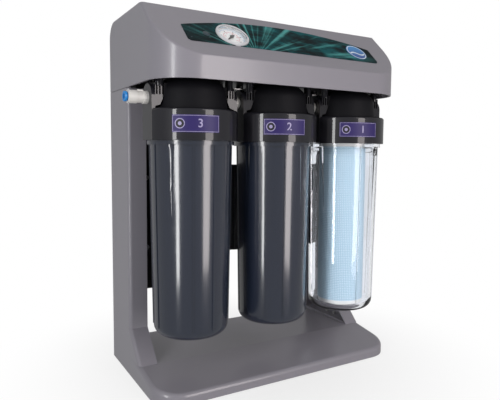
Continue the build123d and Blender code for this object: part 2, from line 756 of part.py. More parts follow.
# --- Membrane and post filter -------------------------------------------------------------------
def make_membrane():
    """Pressure housing with its screw cap and the membrane element inside."""
    seam = membrane_right - membrane_cap_length
    axis = (membrane_y, membrane_height)
    housing = rod(membrane_radius, (membrane_left, *axis), (seam + 18, *axis))
    housing = fillet(housing.edges().filter_by(GeomType.CIRCLE).sort_by(Axis.X)[0], 8)
    housing += rod(membrane_cap_radius, (seam - 7, *axis), (seam - 1, *axis))
    for index in range(8):
        spoke = block((membrane_left + 12, seam - 7), (-1, 1), (0, membrane_radius + 1.4))
        housing += Pos(0, *axis) * Rot(45 * index + 22.5, 0, 0) * spoke
    housing -= rod(membrane_radius - 4, (membrane_left + 8, *axis), (seam + 19, *axis))
    for y in (permeate_y, drain_y):
        housing -= rod(2.2, (membrane_left - 1, y, membrane_height), (membrane_left + 9, y, membrane_height))
    cap = rod(membrane_cap_radius, (seam, *axis), (membrane_right, *axis))
    cap = fillet(cap.edges().filter_by(GeomType.CIRCLE).sort_by(Axis.X)[-1], 6)
    for index in range(12):
        spoke = block((seam + 2, membrane_right - 8), (-1.5, 1.5), (membrane_cap_radius - 4, membrane_cap_radius + 1.5))
        cap += Pos(0, *axis) * Rot(30 * index, 0, 0) * spoke
    cap -= rod(membrane_radius + running_gap, (seam - 1, *axis), (seam + 19, *axis))
    cap -= rod(membrane_radius - 6, (seam + 18, *axis), (membrane_right - 6, *axis))
    cap -= rod(2.2, (membrane_right - 7, *axis), (membrane_right + 1, *axis))
    element = rod(element_radius, (membrane_left + 20, *axis), (seam + 12, *axis))
    element += rod(8.5, (membrane_left + 9, *axis), (seam + 22, *axis))
    element += rod(membrane_radius - 4.2, (seam + 2, *axis), (seam + 6, *axis))
    element -= rod(3.0, (membrane_left + 8, *axis), (seam + 10, *axis))
    return housing, cap, element


def make_post_filter():
    axis = (post_y, membrane_height)
    body = rod(post_radius, (post_left, *axis), (post_right - 6, *axis))
    body = fillet(body.edges().filter_by(GeomType.CIRCLE), 6)
    mouth = post_right + nose_length
    body += rod(fitting_radius, (post_right - 7, *axis), (mouth, *axis))
    body -= rod(socket_radius, (mouth - socket_depth, *axis), (mouth + 1, *axis))
    return body - rod(2.2, (post_left - 1, *axis), (post_left + 12, *axis))


def make_clips(radius, y, places):
    """Open spring clips that stand on the bracket."""
    clips = []
    for x in places:
        start, end = (x - clip_width / 2, y, membrane_height), (x + clip_width / 2, y, membrane_height)
        clip = rod(radius + clip_wall, start, end)
        low = membrane_height - radius - clip_wall
        clip += block((start[0], end[0]), (y - 9, y + 9), (bracket_top_z, low + 3))
        clip += block((start[0], end[0]), (y - 13, y + 13), (bracket_top_z, bracket_top_z + 3))
        clip -= rod(radius + fit_gap / 2, (start[0] - 1, *start[1:]), (end[0] + 1, *end[1:]))
        clip -= block((start[0] - 1, end[0] + 1), (y - radius * 0.8, y + radius * 0.8),
                      (membrane_height + radius * 0.3, membrane_height + radius + 5))
        clips.append(clip)
    return clips


# --- Facia and gauge ----------------------------------------------------------------------------
def make_facia():
    """Printed panel: straight foot, upright ends and an arched top, on the slope."""
    plane = on_slope(0, 0)
    ends = [plane.from_local_coords((sx * facia_half_width, -facia_side_top, 0)) for sx in (-1, 1)]
    peak = plane.from_local_coords((0, -facia_peak, 0))
    feet = [plane.from_local_coords((sx * facia_half_width, -facia_bottom, 0)) for sx in (-1, 1)]
    rim = [ThreePointArc(ends[0], peak, ends[1]), Line(ends[1], feet[1]), Line(feet[1], feet[0]),
           Line(feet[0], ends[0])]
    panel = extrude(make_face(rim), amount=facia_thickness, dir=slope_normal)
    foot_edges = panel.edges().filter_by(lambda edge: edge.length < 2 * facia_thickness).sort_by(Axis.Z)[:2]
    panel = fillet(foot_edges, facia_corner)
    return panel - on_slope(gauge_x, gauge_down) * Cylinder(gauge_radius + fit_gap, 10)


def make_badge():
    disc = Cylinder(badge_radius, badge_thickness, align=(Align.CENTER, Align.CENTER, Align.MIN))
    return on_slope(badge_x, badge_down, facia_thickness) * disc


def make_gauge():
    """Case, bezel, dial, needle and lens, stacked along the slope's normal."""
    origin = on_slope(gauge_x, gauge_down).origin
    rim = gauge_radius - 1.2
    case = turned([(0, -gauge_depth), (gauge_case_radius, -gauge_depth), (gauge_case_radius, 0), (rim, 0),
                   (rim, 1.2), (gauge_case_radius - gauge_wall, 1.2),
                   (gauge_case_radius - gauge_wall, -gauge_depth + gauge_wall), (0, -gauge_depth + gauge_wall)],
                  origin, slope_normal)
    stem = [(0, -gauge_depth - 8), (5.5, -gauge_depth - 8), (5.5, -gauge_depth + 1), (0, -gauge_depth + 1)]
    case += turned(stem, origin, slope_normal)
    bezel = turned([(rim + 0.05, 0), (gauge_radius, 0), (gauge_radius, bezel_height - 1),
                    (gauge_radius - 1, bezel_height), (dial_radius, bezel_height), (dial_radius, 2.5), (rim + 0.05, 2.5)],
                   origin, slope_normal)
    lens = turned([(0, 1.25), (rim, 1.25), (rim, 2.45), (0, 2.45)], origin, slope_normal)
    dial = turned([(1.1, -3.0), (dial_radius, -3.0), (dial_radius, -2.4), (1.1, -2.4)], origin, slope_normal)
    post = turned([(dial_radius - 6, -gauge_depth + gauge_wall), (dial_radius - 3, -gauge_depth + gauge_wall),
                   (dial_radius - 3, -3.0), (dial_radius - 6, -3.0)], origin, slope_normal)
    blade = make_face(Polyline((-6, -1.3), (0, -1.6), (needle_length, -0.35), (needle_length, 0.35), (0, 1.6),
                               (-6, 1.3), close=True))
    needle = extrude(blade, amount=0.5) + Cylinder(2.6, 1.2, align=(Align.CENTER, Align.CENTER, Align.MIN))
    needle += Pos(0, 0, -7) * Cylinder(0.8, 8, align=(Align.CENTER, Align.CENTER, Align.MIN))
    needle = on_slope(gauge_x, gauge_down, -1.6) * Rot(0, 0, needle_rest) * needle
    return case + post, bezel, lens, dial, needle


nodes = {
    "base_tray": make_base(),
    "rubber_feet": make_feet(),
    "column_left": make_column(-1),
    "column_right": make_column(1),
    "hood_cover": make_hood(),
    "facia_panel": make_facia(),
    "facia_badge": make_badge(),
    "bracket_top": make_bracket_top(),
    "bracket_upright_left": make_upright(-1),
    "bracket_upright_right": make_upright(1),
    "back_plate_left": make_back_plate(-1),
    "back_plate_right": make_back_plate(1),
    "link_straps": make_straps(),
    "case_screws": [screw(*place) for place in column_screws + hood_screws + side_screws],
    "bracket_screws": [screw(*place) for place in head_screws + strap_screws + tab_screws + back_screws],
    "nipple_3_2": make_nipple(3, 2),
    "nipple_2_1": make_nipple(2, 1),
    "outlet_fitting": make_outlet_fitting(),
    "outlet_collet": make_collet(),
    "elbow_fittings": make_elbows(),
    "feed_tee": elbow((membrane_right, membrane_y, membrane_height), (1, 0, 0), [(0, -1, 0), (0, 1, 0)]),
    "bulkhead_unions": make_unions(),
    "link_tubes": make_link_tubes(),
    "product_tube": make_product_tube(),
    "gauge_tube": make_gauge_tube(),
    "flow_restrictor": make_restrictor(),
    "membrane_clips": make_clips(membrane_radius + 1.4, membrane_y, (-100.0, 60.0)),
    "post_filter": make_post_filter(),
    "post_filter_clips": make_clips(post_radius, post_y, (-120.0, 40.0)),
}
nodes["membrane_housing"], nodes["membrane_cap"], nodes["membrane_element"] = make_membrane()
(nodes["gauge_case"], nodes["gauge_bezel"], nodes["gauge_lens"], nodes["gauge_dial"],
 nodes["gauge_needle"]) = make_gauge()
for stage in stages:
    nodes[f"head_{stage}"] = make_head(stage)
    nodes[f"sump_{stage}"] = make_sump(stage)
    nodes[f"sump_o_ring_{stage}"] = make_o_ring(stage)
    nodes[f"stage_label_{stage}"] = make_stage_label(stage)
    media, core, caps = make_cartridge(stage)
    nodes[f"cartridge_media_{stage}"] = media
    nodes[f"cartridge_core_{stage}"] = core
    nodes[f"cartridge_caps_{stage}"] = caps

os.makedirs("parts", exist_ok=True)
for name, shape in nodes.items():
    solids = shape if isinstance(shape, list) else [shape]
    export_step(Compound(children=[solid for item in solids for solid in item.solids()]), f"parts/{name}.step")
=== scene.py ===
import json
import math

import bmesh
import bpy
import numpy as np
from mathutils import Matrix, Vector


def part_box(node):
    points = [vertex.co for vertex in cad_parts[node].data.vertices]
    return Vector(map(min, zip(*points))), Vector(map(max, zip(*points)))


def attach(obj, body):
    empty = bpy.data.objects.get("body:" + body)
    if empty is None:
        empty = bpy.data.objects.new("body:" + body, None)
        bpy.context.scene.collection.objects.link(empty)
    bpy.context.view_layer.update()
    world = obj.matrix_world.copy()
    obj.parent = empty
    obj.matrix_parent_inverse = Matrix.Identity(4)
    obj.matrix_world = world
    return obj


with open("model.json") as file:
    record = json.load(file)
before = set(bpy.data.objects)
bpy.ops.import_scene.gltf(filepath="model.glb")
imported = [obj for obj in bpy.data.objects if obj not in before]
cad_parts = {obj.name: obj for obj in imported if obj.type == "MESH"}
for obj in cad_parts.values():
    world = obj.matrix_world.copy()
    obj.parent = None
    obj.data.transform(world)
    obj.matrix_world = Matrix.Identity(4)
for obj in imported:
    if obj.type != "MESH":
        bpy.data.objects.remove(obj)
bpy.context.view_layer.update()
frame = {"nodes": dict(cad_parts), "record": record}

STAGES = (3, 2, 1)
MM = 0.001
TAU = 2 * math.pi


# --- Finishes ------------------------------------------------------------------------------------
class Value:
    """A number, colour or vector in a material, with arithmetic on numbers."""

    def __init__(self, finish, socket):
        self.finish, self.socket = finish, socket

    def __add__(self, other):
        return self.finish.math("ADD", self, other)

    def __sub__(self, other):
        return self.finish.math("SUBTRACT", self, other)

    def __rsub__(self, other):
        return self.finish.math("SUBTRACT", other, self)

    def __mul__(self, other):
        return self.finish.math("MULTIPLY", self, other)

    def __truediv__(self, other):
        return self.finish.math("DIVIDE", self, other)

    def __neg__(self):
        return self.finish.math("MULTIPLY", self, -1)

    def __pow__(self, other):
        return self.finish.math("POWER", self, other)

    def __lt__(self, other):
        return self.finish.math("LESS_THAN", self, other)

    __radd__ = __add__
    __rmul__ = __mul__


class Finish:
    """A material of one Principled shader; keyword arguments set its sockets."""

    def __init__(self, name, **sockets):
        self.material = bpy.data.materials.new(name)
        self.material.use_nodes = True
        self.tree = self.material.node_tree
        self.shader = self.tree.nodes["Principled BSDF"]
        self.wear(**sockets)

    def wear(self, **sockets):
        """Sets or links the shader's sockets: base_color for Base Color, ior for IOR."""
        self.feed(self.shader, {key.replace("_", " ").title().replace("Ior", "IOR"): value
                                for key, value in sockets.items()})
        return self

    def feed(self, node, values):
        """Gives a node's sockets, by name or number, their values or links."""
        for key, value in values.items():
            socket = node.inputs[key]
            if isinstance(value, Value):
                self.tree.links.new(value.socket, socket)
            elif socket.type == "RGBA" and len(value) == 3:
                socket.default_value = (*value, 1)
            else:
                socket.default_value = value

    def node(self, kind, settings=None, values=None, output=0):
        """Adds a node: its settings first, ramp stops among them, then its sockets' values or links."""
        node = self.tree.nodes.new(kind)
        for key, value in (settings or {}).items():
            if key == "stops":
                while len(node.color_ramp.elements) < len(value):
                    node.color_ramp.elements.new(0.5)
                for element, (place, colour) in zip(node.color_ramp.elements, value):
                    element.position = place
                    element.color = (*colour, 1)
            else:
                setattr(node, key, value)
        self.feed(node, values or {})
        return Value(self, node.outputs[output])

    def math(self, operation, *values):
        return self.node("ShaderNodeMath", {"operation": operation}, dict(enumerate(values)))

    def place(self):
        """Object coordinates."""
        return self.node("ShaderNodeTexCoord", output="Object")

    def along(self):
        """The X, Y and Z of Object coordinates, in metres."""
        where = self.node("ShaderNodeSeparateXYZ", None, {"Vector": self.place()}, "X")
        return where, *(Value(self, where.socket.node.outputs[axis]) for axis in "YZ")

    def ramp(self, value, low, high, to_low=0.0, to_high=1.0):
        """Smooth step of a value between two edges."""
        return self.node("ShaderNodeMapRange", {"interpolation_type": "SMOOTHSTEP"}, {
            "Value": value, "From Min": low, "From Max": high, "To Min": to_low, "To Max": to_high})

    def noise(self, scale, detail=2.0, rough=0.5, stretch=(1, 1, 1)):
        """Fractal noise from 0 to 1; a stretch below 1 draws it out along that axis."""
        where = self.node("ShaderNodeMapping", None, {"Vector": self.place(), "Scale": stretch})
        return self.node("ShaderNodeTexNoise", None,
                         {"Vector": where, "Scale": scale, "Detail": detail, "Roughness": rough}, "Fac")

    def between(self, low, high, factor):
        """A colour between two, by a factor."""
        return self.node("ShaderNodeMix", {"data_type": "RGBA"}, {"Factor": factor, 6: low, 7: high}, 2)

    def bump(self, height, distance, strength):
        """A normal tilted by a height; distance is in metres."""
        return self.node("ShaderNodeBump", None,
                         {"Height": height, "Distance": distance, "Strength": strength})

    def own(self):
        """The Principled shader, for mixing."""
        return Value(self, self.shader.outputs[0])

    def mixed(self, factor, zero, one):
        """One shader where the factor is 0, another where it is 1."""
        return self.node("ShaderNodeMixShader", None, {0: factor, 1: zero, 2: one})

    def show(self, shader):
        """Makes a shader the material's surface, in place of the Principled one."""
        self.feed(self.tree.nodes["Material Output"], {"Surface": shader})


def scaled(colour, share):
    return tuple(channel * share for channel in colour)


def satin_grey(name, colour):
    """Moulded pearl-grey plastic: fine spark texture, faint mottling and soft gloss."""
    finish = Finish(name, specular_ior_level=0.5, coat_weight=0.5, coat_roughness=0.16)
    mottle = finish.noise(9, 3)
    grain = finish.noise(1500, 2, 0.6)
    tone = finish.between(scaled(colour, 0.94), scaled(colour, 1.06), mottle * 0.7 + grain * 0.3)
    return finish.wear(base_color=tone, roughness=0.31 + mottle * 0.08 + grain * 0.04,
                       normal=finish.bump(grain, 0.02 * MM, 0.5))


def moulded(name, colour, rough):
    """Plain moulded plastic with a fine skin."""
    finish = Finish(name)
    skin = finish.noise(900, 3, 0.6)
    cloud = finish.noise(25, 2)
    tone = finish.between(scaled(colour, 0.85), colour, cloud * 0.6 + skin * 0.4)
    return finish.wear(base_color=tone, roughness=rough + cloud * 0.08 - 0.04,
                       normal=finish.bump(skin, 0.02 * MM, 0.6))


def metal(name, colour, rough):
    """Plated metal, faintly clouded."""
    finish = Finish(name, metallic=1.0)
    cloud = finish.noise(400, 2)
    tone = finish.between(scaled(colour, 0.88), colour, cloud)
    return finish.wear(base_color=tone, roughness=rough + cloud * 0.12,
                       normal=finish.bump(cloud, 0.01 * MM, 0.4))


def paint(finish, *nodes):
    """Gives CAD nodes a finish."""
    for name in nodes:
        piece = frame["nodes"][name]
        piece.data.materials.clear()
        piece.data.materials.append(finish.material)


def head_satin(name, colour):
    """Black moulding: satin ring and ports, and a matt dome above the ring's top and near the bowl's axis,
    whose colour is halved as painted shade from the hood above.
    """
    ring_height, edge, matt_reach = 38.2 * MM, 0.5 * MM, 44 * MM
    finish = Finish(name, specular_ior_level=0.15)
    x, y, z = finish.along()
    ring_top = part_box("head_3")[0][2] + ring_height
    axes = [sum(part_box(f"sump_{n}")[side][0] for side in (0, 1)) / 2 for n in STAGES]
    near = [(x - axis) * (x - axis) for axis in axes]
    aside = finish.math("MINIMUM", near[0], finish.math("MINIMUM", near[1], near[2])) ** 0.5
    dome = finish.ramp(z, ring_top - edge, ring_top + edge) * (aside < matt_reach)
    skin = finish.noise(1100, 3, 0.6)
    # Painted shade: the dome's colour is halved for the shade under the hood; its matt roughness and lost
    # coat are the moulding's own.
    tone = finish.between(colour, scaled(colour, 0.5), dome)
    return finish.wear(base_color=tone, roughness=0.36 + dome * 0.2 + skin * 0.06,
                       coat_weight=0.8 - dome * 0.8, normal=finish.bump(skin, 0.02 * MM, 0.6))


case_grey = satin_grey("case_grey", (0.258, 0.248, 0.282))
head_black = head_satin("head_black", (0.015, 0.015, 0.020))
steel_black = moulded("steel_black", (0.008, 0.008, 0.009), 0.42)
white_plastic = moulded("white_plastic", (0.78, 0.77, 0.74), 0.38)
rubber_black = moulded("rubber_black", (0.02, 0.02, 0.02), 0.7)
zinc = metal("zinc", (0.62, 0.62, 0.62), 0.28)
chrome = metal("chrome", (0.80, 0.80, 0.80), 0.10)
bezel_pale = moulded("bezel_pale", (0.74, 0.75, 0.78), 0.3)
collet_blue = moulded("collet_blue", (0.02, 0.28, 0.75), 0.25)
tube_white = moulded("tube_white", (0.80, 0.82, 0.82), 0.3)
lens_clear = Finish("lens_clear", base_color=(1, 1, 1), roughness=0.0, transmission_weight=1.0, ior=1.2)
needle_black = moulded("needle_black", (0.01, 0.01, 0.01), 0.35)
dial_white = moulded("dial_white", (0.88, 0.89, 0.90), 0.4)
ink_black = moulded("ink_black", (0.012, 0.012, 0.014), 0.5)
ink_sky = moulded("ink_sky", (0.20, 0.45, 0.72), 0.5)
ink_rose = moulded("ink_rose", (0.70, 0.16, 0.22), 0.5)
label_violet = moulded("label_violet", (0.022, 0.010, 0.13), 0.5)
label_silver = moulded("label_silver", (0.42, 0.38, 0.62), 0.4)


def bowl_gloss(name, colour):
    """Polished dark moulding: a clear coat over it and very slow waves in the skin."""
    finish = Finish(name, coat_weight=1.0, coat_roughness=0.11, coat_ior=1.55, specular_ior_level=0.5)
    wave = finish.noise(14, 2, 0.5, (1, 1, 0.35))
    skin = finish.noise(900, 2, 0.6)
    tone = finish.between(scaled(colour, 0.8), colour, wave)
    return finish.wear(base_color=tone, roughness=0.22 + skin * 0.05,
                       normal=finish.bump(wave, 0.2 * MM, 0.35))


def bowl_glass(name):
    """Clear moulding with a faint smoky tint and slow waves that bend what is seen through it."""
    finish = Finish(name, roughness=0.015, transmission_weight=1.0, ior=1.45, specular_ior_level=0.6)
    wave = finish.noise(18, 2, 0.5, (1, 1, 0.3))
    tone = finish.between((0.84, 0.87, 0.91), (0.91, 0.92, 0.95), wave)
    finish.wear(base_color=tone, normal=finish.bump(wave, 0.1 * MM, 0.3))
    shadow = finish.node("ShaderNodeLightPath", output="Is Shadow Ray")
    clear = finish.node("ShaderNodeBsdfTransparent", None, {"Color": (0.95, 0.96, 0.97)})
    finish.show(finish.mixed(shadow, finish.own(), clear))
    return finish


def wound(name, yarn, shade, pitch, stage):
    """Cartridge sleeve in fine square mesh: strands round and along it, one every pitch."""
    finish = Finish(name, sheen_weight=0.3)
    low, high = (Vector(corner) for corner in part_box(f"cartridge_media_{stage}"))
    x, y, z = finish.along()
    radius = (high.x - low.x) / 2
    angle = finish.math("ARCTAN2", y - (low.y + high.y) / 2, x - (low.x + high.x) / 2)
    strand = [finish.math("PINGPONG", run, pitch / 2) * (2 / pitch)
              for run in (angle * radius + 50 * pitch, z)]
    fuzz = finish.noise(700, 3, 0.7)
    mesh = finish.math("MINIMUM", strand[0], strand[1]) + fuzz * 0.2 - 0.1
    cover = finish.ramp(mesh, 0.15, 0.60)
    cloud = finish.noise(30, 3)
    tone = finish.between(shade, yarn, cover * 0.85 + cloud * 0.15)
    return finish.wear(base_color=tone, roughness=0.75 + fuzz * 0.2, normal=finish.bump(mesh, 0.4 * MM, 0.8))


def pressed_carbon(name):
    """Pressed carbon: black grit and pits, with glints that are glossier and also painted lighter as
    highlights.
    """
    finish = Finish(name)
    grit = finish.noise(1400, 4, 0.75)
    glint = finish.ramp(finish.noise(2600, 1), 0.66, 0.72)
    # Painted highlight: the glint spots lighten the colour; their lower roughness is the grit's own.
    tone = finish.between((0.010, 0.010, 0.011), (0.05, 0.05, 0.055), grit * 0.7 + glint)
    return finish.wear(base_color=tone, roughness=0.9 - glint * 0.5, normal=finish.bump(grit, 0.3 * MM, 0.9))


def water_picture(name):
    """Printed water: dark ends, teal middle, and pale rays that fan up from a point below the panel."""
    finish = Finish(name, roughness=0.5, specular_ior_level=0.12)
    x, y, z = finish.along()
    low, high = (Vector(corner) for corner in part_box("facia_panel"))
    across, up = x - (low.x + 85 * MM), z - (low.z - 12 * MM)
    turn = finish.math("ARCTAN2", up, across)
    reach = (across * across + up * up) ** 0.5
    rays = finish.node("ShaderNodeTexNoise", {"noise_dimensions": "2D"}, {
        "Vector": finish.node("ShaderNodeCombineXYZ", None, {"X": turn * 9.0, "Y": reach * 4.0}),
        "Scale": 1.0, "Detail": 4.0, "Roughness": 0.6}, "Fac")
    ripple = finish.noise(55, 4, 0.65, (0.45, 1, 1))
    fade = finish.ramp(x, low.x, low.x + 70 * MM) * finish.ramp(-x, -high.x, 60 * MM - high.x)
    glow = finish.ramp(rays + ripple * 0.3, 0.62, 0.92) * (0.1 + fade * 0.9)
    deep = finish.between((0.001, 0.006, 0.008), (0.002, 0.085, 0.095),
                          finish.ramp(ripple, 0.35, 0.75) * (0.2 + fade))
    tone = finish.between(deep, (0.12, 0.48, 0.46), glow * 0.75)
    return finish.wear(base_color=tone)


def badge_print(name):
    """Round blue badge: pale rim, blue field that lightens upward, and a pale wave across it."""
    finish = Finish(name, coat_weight=0.6, coat_roughness=0.08, roughness=0.35)
    x, y, z = finish.along()
    low, high = (Vector(corner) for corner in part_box("facia_badge"))
    middle, radius = (low + high) / 2, (high.x - low.x) / 2
    across = (x - middle.x) / radius
    up = (z - middle.z) / ((high.z - low.z) / 2)
    reach = (across * across + up * up) ** 0.5
    rim = finish.ramp(reach, 0.86, 0.88) * (1 - finish.ramp(reach, 0.94, 0.96))
    wave = finish.math("SINE", across * 4.2) * 0.13
    band = (finish.ramp(up + wave, -0.30, -0.27) * (1 - finish.ramp(up + wave, -0.12, -0.09))
            * (reach < 0.80))
    field = finish.between((0.01, 0.07, 0.33), (0.03, 0.26, 0.62), finish.ramp(up, -0.9, 0.9))
    tone = finish.between(field, (0.72, 0.84, 0.93), finish.math("MAXIMUM", rim, band))
    return finish.wear(base_color=tone)


bowl_slate = bowl_gloss("bowl_slate", (0.017, 0.024, 0.044))
bowl_clear = bowl_glass("bowl_clear")
fibre_blue = wound("fibre_blue", (0.52, 0.66, 0.74), (0.30, 0.45, 0.55), 2.6 * MM, 1)
carbon_black = pressed_carbon("carbon_black")
print_water = water_picture("print_water")
badge_blue = badge_print("badge_blue")

paint(case_grey, "hood_cover", "column_left", "column_right", "base_tray")
paint(head_black, *(f"head_{n}" for n in STAGES))
paint(bowl_slate, "sump_3", "sump_2")
paint(bowl_clear, "sump_1")
# The near-black uprights stand behind the columns and fill their insides with black: partly the frame's own
# colour, partly painted shade there.
paint(steel_black, "bracket_top", "bracket_upright_left", "bracket_upright_right", "back_plate_left",
      "back_plate_right")
paint(white_plastic, "nipple_3_2", "nipple_2_1", "outlet_fitting", "elbow_fittings", "feed_tee",
      "bulkhead_unions", "flow_restrictor", "membrane_housing", "membrane_cap", "membrane_clips",
      "post_filter", "post_filter_clips", *(f"cartridge_caps_{n}" for n in STAGES),
      *(f"cartridge_core_{n}" for n in STAGES), "cartridge_media_3")
paint(rubber_black, "rubber_feet", *(f"sump_o_ring_{n}" for n in STAGES))
paint(zinc, "case_screws", "bracket_screws", "link_straps")
paint(chrome, "gauge_case")
paint(bezel_pale, "gauge_bezel")
paint(collet_blue, "outlet_collet", "membrane_element")
paint(tube_white, "link_tubes", "product_tube", "gauge_tube")
paint(lens_clear, "gauge_lens")
paint(needle_black, "gauge_needle")
paint(dial_white, "gauge_dial")
paint(fibre_blue, "cartridge_media_1")
paint(carbon_black, "cartridge_media_2")
paint(print_water, "facia_panel")
paint(badge_blue, "facia_badge")
paint(label_violet, *(f"stage_label_{n}" for n in STAGES))


# --- Printed marks and droplets ------------------------------------------------------------------
def slab(top, bottom):
    """A closed slab between two grids of points of rows x columns: its points and faces."""
    rows, columns = top.shape[:2]
    number = np.arange(rows * columns).reshape(rows, columns)
    sheet = np.stack((number[:-1, :-1], number[1:, :-1], number[1:, 1:], number[:-1, 1:]), -1).reshape(-1, 4)
    rim = np.concatenate((number[0], number[1:, -1], number[-1, -2::-1], number[-2:0:-1, 0]))
    below = rows * columns
    walls = np.stack((rim, np.roll(rim, -1), np.roll(rim, -1) + below, rim + below), -1)
    points = np.concatenate((top.reshape(-1, 3), bottom.reshape(-1, 3)))
    return points, [*sheet.tolist(), *(sheet[:, ::-1] + below).tolist(), *walls.tolist()]


def make_piece(name, parts, finish, body):
    """One object from parts of points and faces: doubles merged, faces outward, smooth up to 35 degrees."""
    mesh = bpy.data.meshes.new(name)
    points, faces, total = [], [], 0
    for part_points, part_faces in parts:
        points.append(np.asarray(part_points))
        faces += [[index + total for index in face] for face in part_faces]
        total += len(part_points)
    mesh.from_pydata(np.concatenate(points).tolist(), [], faces)
    shape = bmesh.new()
    shape.from_mesh(mesh)
    bmesh.ops.remove_doubles(shape, verts=shape.verts, dist=1e-7)
    bmesh.ops.dissolve_degenerate(shape, edges=shape.edges, dist=1e-8)
    bmesh.ops.recalc_face_normals(shape, faces=shape.faces)
    shape.to_mesh(mesh)
    shape.free()
    mesh.polygons.foreach_set("use_smooth", np.ones(len(mesh.polygons), dtype=bool))
    mesh.set_sharp_from_angle(angle=math.radians(35))
    mesh.materials.append(finish.material)
    piece = bpy.data.objects.new(name, mesh)
    bpy.context.scene.collection.objects.link(piece)
    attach(piece, body)


def flat(origin, right, normal):
    """Places points (along, up, off) on a plane."""
    axes = np.array([right, normal.cross(right), normal])

    def put(along, rise, off):
        return np.array(origin) + np.stack(np.broadcast_arrays(along, rise, off), -1) @ axes
    return put


def bent(centre, radius, middle):
    """Places points on an upright cylinder: along runs round it from the middle angle, in metres."""
    def put(along, rise, off):
        along, rise, off = np.broadcast_arrays(along, rise, off)
        angle = middle + along / radius
        reach = radius + off
        return np.stack((centre.x + reach * np.cos(angle), centre.y + reach * np.sin(angle),
                         centre.z + rise), -1)
    return put


def patch(put, along, rise, thick):
    """A thin slab whose outline is a grid of along and rise."""
    return slab(put(along, rise, thick), put(along, rise, 0.0))


def bar(put, middle, size, turn=0.0, thick=0.06 * MM):
    """A small straight mark, long along its own turned axis."""
    steps = np.linspace(-0.5, 0.5, 9)[None, :] * size[0]
    sides = np.array([-0.5, 0.5])[:, None] * size[1]
    along = middle[0] + steps * math.cos(turn) - sides * math.sin(turn)
    rise = middle[1] + steps * math.sin(turn) + sides * math.cos(turn)
    return patch(put, along, rise, thick)


def arc(put, middle, inner, outer, start, stop, thick=0.06 * MM, steps=96):
    """A mark between two radii and two angles in degrees."""
    angle = np.radians(np.linspace(start, stop, steps))[None, :]
    reach = np.array([inner, outer])[:, None]
    return patch(put, middle[0] + reach * np.cos(angle), middle[1] + reach * np.sin(angle), thick)


def figure(put, text, middle, size, thick=0.06 * MM, bolder=0.0):
    """A plain number, from the built-in typeface."""
    curve = bpy.data.curves.new("figure", "FONT")
    curve.body, curve.size, curve.extrude, curve.resolution_u = text, size, thick / 2, 4
    curve.offset = bolder
    curve.align_x, curve.align_y = "CENTER", "CENTER"
    holder = bpy.data.objects.new("figure", curve)
    mesh = bpy.data.meshes.new_from_object(holder)
    points = np.array([tuple(vertex.co) for vertex in mesh.vertices])
    faces = [list(polygon.vertices) for polygon in mesh.polygons]
    bpy.data.objects.remove(holder)
    bpy.data.curves.remove(curve)
    bpy.data.meshes.remove(mesh)
    return put(points[:, 0] + middle[0], points[:, 1] + middle[1], points[:, 2] + thick / 2), faces


def drop(put, middle, radius, high):
    """A round droplet: height falls off as one minus the square of the distance out."""
    angle = np.linspace(0, TAU, 33)[None, :]
    out = np.linspace(0, 1, 9)[:, None]
    along = middle[0] + radius * out * np.cos(angle)
    rise = middle[1] + radius * out * np.sin(angle)
    return slab(put(along, rise, 0.01 * MM + high * (1 - out ** 2)), put(along, rise, 0.0))


def corners_of(name):
    """The corners of a CAD node's mesh, one to a row."""
    vertices = frame["nodes"][name].data.vertices
    corners = np.empty((len(vertices), 3))
    vertices.foreach_get("co", corners.ravel())
    return corners


def joint_named(name):
    return next(joint for joint in frame["record"]["behaviour"]["joints"] if joint["name"] == name)


def dress_gauge():
    """Scales, ticks and numbers on the gauge's dial; sizes are shares of the dial's radius."""
    joint = joint_named("gauge_needle_turn")
    normal = -Vector(joint["axis"]).normalized()
    corners = corners_of("gauge_dial")
    centre = Vector(joint["pos_m"])
    face = (corners @ np.array(normal)).max() - centre.dot(normal)
    radius = np.linalg.norm(np.cross(corners - np.array(centre), np.array(normal)), axis=1).max()
    put = flat(centre + normal * face, Vector((1, 0, 0)), normal)
    first, sweep, ticks, numbers = 225, 270, 50, 5
    outer_edge, inner_tick, outer_number, inner_number = 0.90, 0.535, 0.69, 0.43

    def ring(inner, outer):
        return arc(put, (0, 0), radius * inner, radius * outer, first - sweep, first)

    def around(share, turn):
        return radius * share * math.cos(turn), radius * share * math.sin(turn)

    def tick(share, length, width, turn):
        return bar(put, around(share, turn), (radius * length, radius * width), turn)

    blue, rose, ink = [ring(outer_edge, 0.925)], [ring(0.56, 0.58)], []
    for step in range(ticks + 1):
        turn = math.radians(first - sweep / ticks * step)
        length, width = (0.13, 0.022) if step % 5 == 0 else (0.07, 0.012)
        blue.append(tick(outer_edge - length / 2, length, width, turn))
        if step % 2 == 0:
            rose.append(tick(inner_tick, 0.05, 0.012, turn))
    for step in range(numbers + 1):
        turn = math.radians(first - sweep / numbers * step)
        ink.append(figure(put, str(2 * step), around(outer_number, turn), radius * 0.20))
        rose.append(figure(put, str(30 * step), around(inner_number, turn), radius * 0.12))
    make_piece("gauge_outer_scale", blue, ink_sky, "frame")
    make_piece("gauge_inner_scale", rose, ink_rose, "frame")
    make_piece("gauge_numbers", ink, ink_black, "frame")


